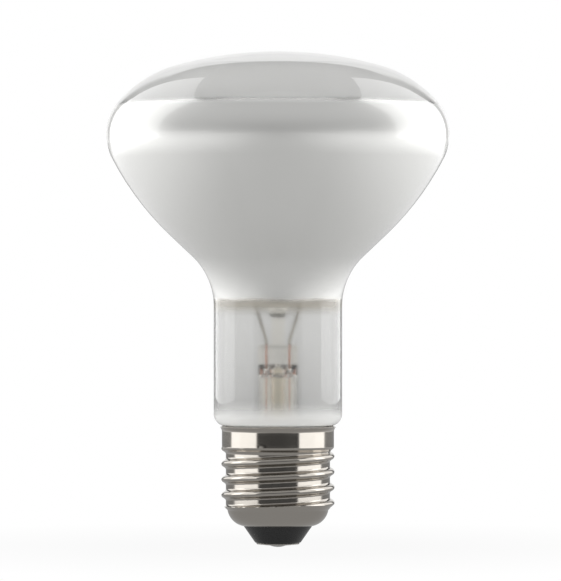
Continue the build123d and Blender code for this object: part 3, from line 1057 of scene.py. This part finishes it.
def floor_paint(studio):
    """Floor paint, rolled on and matt, with painted light: a faint painted shadow under the lamp for the
    camera, and painted shade and light for the lamp's metal to reflect.
    """
    name = "matt white floor paint"
    tree = start_material(name)
    if tree is None:
        return bpy.data.materials[name]
    # The eye sees white paint with a faint painted shadow under the lamp
    place = add_node(tree, "ShaderNodeTexCoord").outputs["Object"]
    away = add_node(tree, "ShaderNodeVectorMath", {0: place}, operation="LENGTH").outputs["Value"]
    white_with_painted_shadow = add_node(
        tree,
        "ShaderNodeMapRange",
        {"Value": away, "From Min": 0.03, "From Max": 0.12, "To Min": 0.95, "To Max": 1.0},
    ).outputs[0]
    split = add_node(tree, "ShaderNodeSeparateXYZ", {"Vector": place})
    beside = add_node(tree, "ShaderNodeMath", {0: split.outputs["X"]}, operation="ABSOLUTE").outputs[0]
    ahead = add_node(
        tree, "ShaderNodeMath", {0: split.outputs["Y"], 1: -1.0}, operation="MULTIPLY"
    ).outputs[0]
    bearing = add_node(tree, "ShaderNodeMath", {0: beside, 1: ahead}, operation="ARCTAN2").outputs[0]
    graze = add_node(tree, "ShaderNodeLayerWeight", {"Blend": 0.5}).outputs["Facing"]
    # Soft steps: far to the sides, out of the camera's sector, past the cards, and seen at a low angle
    steps = []
    for value, start, end in (
        (beside, 0.18, 0.3),
        (bearing, radians(41), radians(47)),
        (bearing, radians(108), radians(116)),
        (graze, 0.86, 0.95),
    ):
        span = {"Value": value, "From Min": start, "From Max": end}
        step = add_node(tree, "ShaderNodeMapRange", span, interpolation_type="SMOOTHSTEP")
        steps.append(step.outputs[0])
    far, beside_camera, past_cards, low = steps
    # Painted reflection for metal: the floor glows darker near the lamp and towards the camera, brighter to
    # the sides, and dim past the cards
    near = add_node(
        tree,
        "ShaderNodeMapRange",
        {"Value": beside, "From Min": 0.03, "From Max": 0.18, "To Min": studio.floor_level, "To Max": 0.9},
        interpolation_type="SMOOTHSTEP",
    ).outputs[0]
    sides = add_node(
        tree, "ShaderNodeMath", {0: far, 1: 0.35, 2: near}, operation="MULTIPLY_ADD"
    ).outputs[0]
    bright = add_node(
        tree, "ShaderNodeMath", {0: beside_camera, 1: past_cards}, operation="SUBTRACT"
    ).outputs[0]
    horizon = add_node(
        tree, "ShaderNodeMapRange", {"Value": bright, "To Min": studio.shade, "To Max": 1.0}
    ).outputs[0]
    horizon = add_node(
        tree, "ShaderNodeMath", {0: past_cards, 1: 0.25, 2: horizon}, operation="MULTIPLY_ADD"
    ).outputs[0]
    painted_reflection_level = add_node(tree, "ShaderNodeMix", {"Factor": low, 2: sides, 3: horizon}).outputs[0]
    rays = add_node(tree, "ShaderNodeLightPath")
    glossy = rays.outputs["Is Glossy Ray"]
    shown = add_node(tree, "ShaderNodeMix", {"Factor": glossy, 2: white_with_painted_shadow, 3: painted_reflection_level}).outputs[0]
    seen = add_node(
        tree, "ShaderNodeMath", {0: rays.outputs["Is Camera Ray"], 1: rays.outputs["Is Transmission Ray"]}
    ).outputs[0]
    share = add_node(tree, "ShaderNodeMath", {0: seen, 1: glossy}, operation="MAXIMUM").outputs[0]
    paint = add_node(tree, "ShaderNodeBsdfDiffuse", {"Color": list(studio.floor)})
    glow = add_node(tree, "ShaderNodeEmission", {"Color": (1, 1, 1, 1), "Strength": shown})
    mix = add_node(tree, "ShaderNodeMixShader", {"Fac": share, 1: paint.outputs[0], 2: glow.outputs[0]})
    return end_material(tree, name, mix)


def studio_world(studio):
    """A room that is white to the camera, to glass and to matt surfaces, and uneven to mirrors."""
    world = bpy.data.worlds.new("studio")
    world.use_nodes = True
    # Each kind of ray sees its own level, so the room is never sampled as one lamp
    world.cycles.sampling_method = "NONE"
    tree = world.node_tree
    tree.nodes.clear()
    way = add_node(tree, "ShaderNodeTexCoord").outputs["Generated"]
    split = add_node(tree, "ShaderNodeSeparateXYZ", {"Vector": way})
    up = split.outputs["Z"]
    round_axis = add_node(
        tree, "ShaderNodeMath", {0: split.outputs["X"], 1: split.outputs["Y"]}, operation="ARCTAN2"
    ).outputs[0]
    aside = add_node(tree, "ShaderNodeMath", {0: round_axis}, operation="ABSOLUTE").outputs[0]
    # Soft steps: behind the lamp, under the backdrop's top, towards the camera, and above the floor
    steps = []
    for value, start, end in (
        (aside, radians(22), radians(14)),
        (up, 0.56, 0.51),
        (aside, radians(98), radians(112)),
        (up, 0.0, 0.45),
    ):
        span = {"Value": value, "From Min": start, "From Max": end}
        step = add_node(tree, "ShaderNodeMapRange", span, interpolation_type="SMOOTHSTEP")
        steps.append(step.outputs[0])
    behind, under, facing, above = steps
    backdrop = add_node(tree, "ShaderNodeMath", {0: behind, 1: under}, operation="MULTIPLY").outputs[0]
    ahead = add_node(tree, "ShaderNodeMath", {0: facing, 1: above}, operation="MULTIPLY").outputs[0]
    room = add_node(
        tree, "ShaderNodeMapRange", {"Value": ahead, "To Min": studio.fill, "To Max": studio.front}
    ).outputs[0]
    rays = add_node(tree, "ShaderNodeLightPath")
    white = backdrop
    for kind in ("Is Camera Ray", "Is Transmission Ray", "Is Diffuse Ray"):
        white = add_node(
            tree, "ShaderNodeMath", {0: rays.outputs[kind], 1: white}, operation="MAXIMUM"
        ).outputs[0]
    level = add_node(
        tree, "ShaderNodeMapRange", {"Value": white, "To Min": room, "To Max": 1.0}
    ).outputs[0]
    sky = add_node(tree, "ShaderNodeBackground", {"Color": (1, 1, 1, 1), "Strength": level})
    add_node(tree, "ShaderNodeOutputWorld", {"Surface": sky.outputs[0]})
    return world


class LAMP_OT_stage(bpy.types.Operator):
    """Set the floor, the softboxes, the backdrop and the camera"""

    bl_idname = "lamp.stage"
    bl_label = "Studio"

    def execute(self, context):
        scene, studio = context.scene, context.scene.lamp_studio
        scene.view_settings.view_transform = "Standard"
        scene.cycles.max_bounces = 24
        scene.cycles.transmission_bounces = 24
        scene.cycles.glossy_bounces = 16

        lens = bpy.data.cameras.new("camera")
        lens.sensor_width = 36.0
        lens.lens = lens.sensor_width * studio.camera_distance / studio.frame_height
        camera = bpy.data.objects.new("camera", lens)
        camera.location = (studio.frame_side, -studio.camera_distance, studio.frame_middle)
        camera.rotation_euler = (pi / 2, 0, 0)
        scene.collection.objects.link(camera)
        scene.camera = camera

        metal = bpy.data.collections.new("cap_metal")
        metal.objects.link(bpy.data.objects["screw_shell"])
        for side, name in ((-1, "left"), (1, "right")):
            hang_panel(
                f"softbox_{name}",
                side * studio.softbox_azimuth,
                studio.softbox_distance,
                studio.softbox_width,
                (studio.softbox_base, studio.softbox_top),
                studio.softbox_level,
            )
            hang_panel(
                f"bounce_card_{name}",
                side * studio.card_azimuth,
                studio.card_distance,
                studio.card_width,
                (0.0, studio.card_top),
                studio.card_level,
                metal,
            )

        reach, below = 60.0, 0.05 * MM
        bm = bmesh.new()
        bmesh.ops.create_grid(
            bm, x_segments=1, y_segments=1, size=reach, matrix=Matrix.Translation((0, 0, -below))
        )
        mesh = bpy.data.meshes.new("floor")
        bm.to_mesh(mesh)
        bm.free()
        floor = bpy.data.objects.new("floor", mesh)
        scene.collection.objects.link(floor)
        mesh.materials.append(floor_paint(studio))
        scene.world = studio_world(studio)
        return {"FINISHED"}


class LAMP_PT_panel(bpy.types.Panel):
    """Sizes, colours and pieces of the lamp"""

    bl_idname = "LAMP_PT_panel"
    bl_label = "Reflector Lamp"
    bl_space_type = "VIEW_3D"
    bl_region_type = "UI"
    bl_category = "Lamp"

    def draw(self, context):
        for operator in OPERATORS:
            self.layout.operator(operator.bl_idname)
        for name, group in GROUPS.items():
            box = self.layout.box()
            for value in group.__annotations__:
                box.prop(getattr(context.scene, name), value)


GROUPS = {
    "lamp_bulb": BulbSizes,
    "lamp_cap": CapSizes,
    "lamp_mount": MountSizes,
    "lamp_colours": LampColours,
    "lamp_studio": StudioSettings,
}
OPERATORS = (
    LAMP_OT_bulb,
    LAMP_OT_mirror,
    LAMP_OT_cap,
    LAMP_OT_insulator,
    LAMP_OT_contact,
    LAMP_OT_stem,
    LAMP_OT_mount,
    LAMP_OT_stage,
)
CLASSES = (*GROUPS.values(), *OPERATORS, LAMP_PT_panel)


def register():
    for made in CLASSES:
        bpy.utils.register_class(made)
    for name, group in GROUPS.items():
        setattr(bpy.types.Scene, name, PointerProperty(type=group))


def unregister():
    for name in GROUPS:
        delattr(bpy.types.Scene, name)
    for made in reversed(CLASSES):
        bpy.utils.unregister_class(made)


def main():
    register()
    bpy.ops.lamp.bulb()
    bpy.ops.lamp.mirror()
    bpy.ops.lamp.cap()
    bpy.ops.lamp.insulator()
    bpy.ops.lamp.contact()
    bpy.ops.lamp.stem()
    bpy.ops.lamp.mount()
    bpy.ops.lamp.stage()


if __name__ == "__main__":
    main()
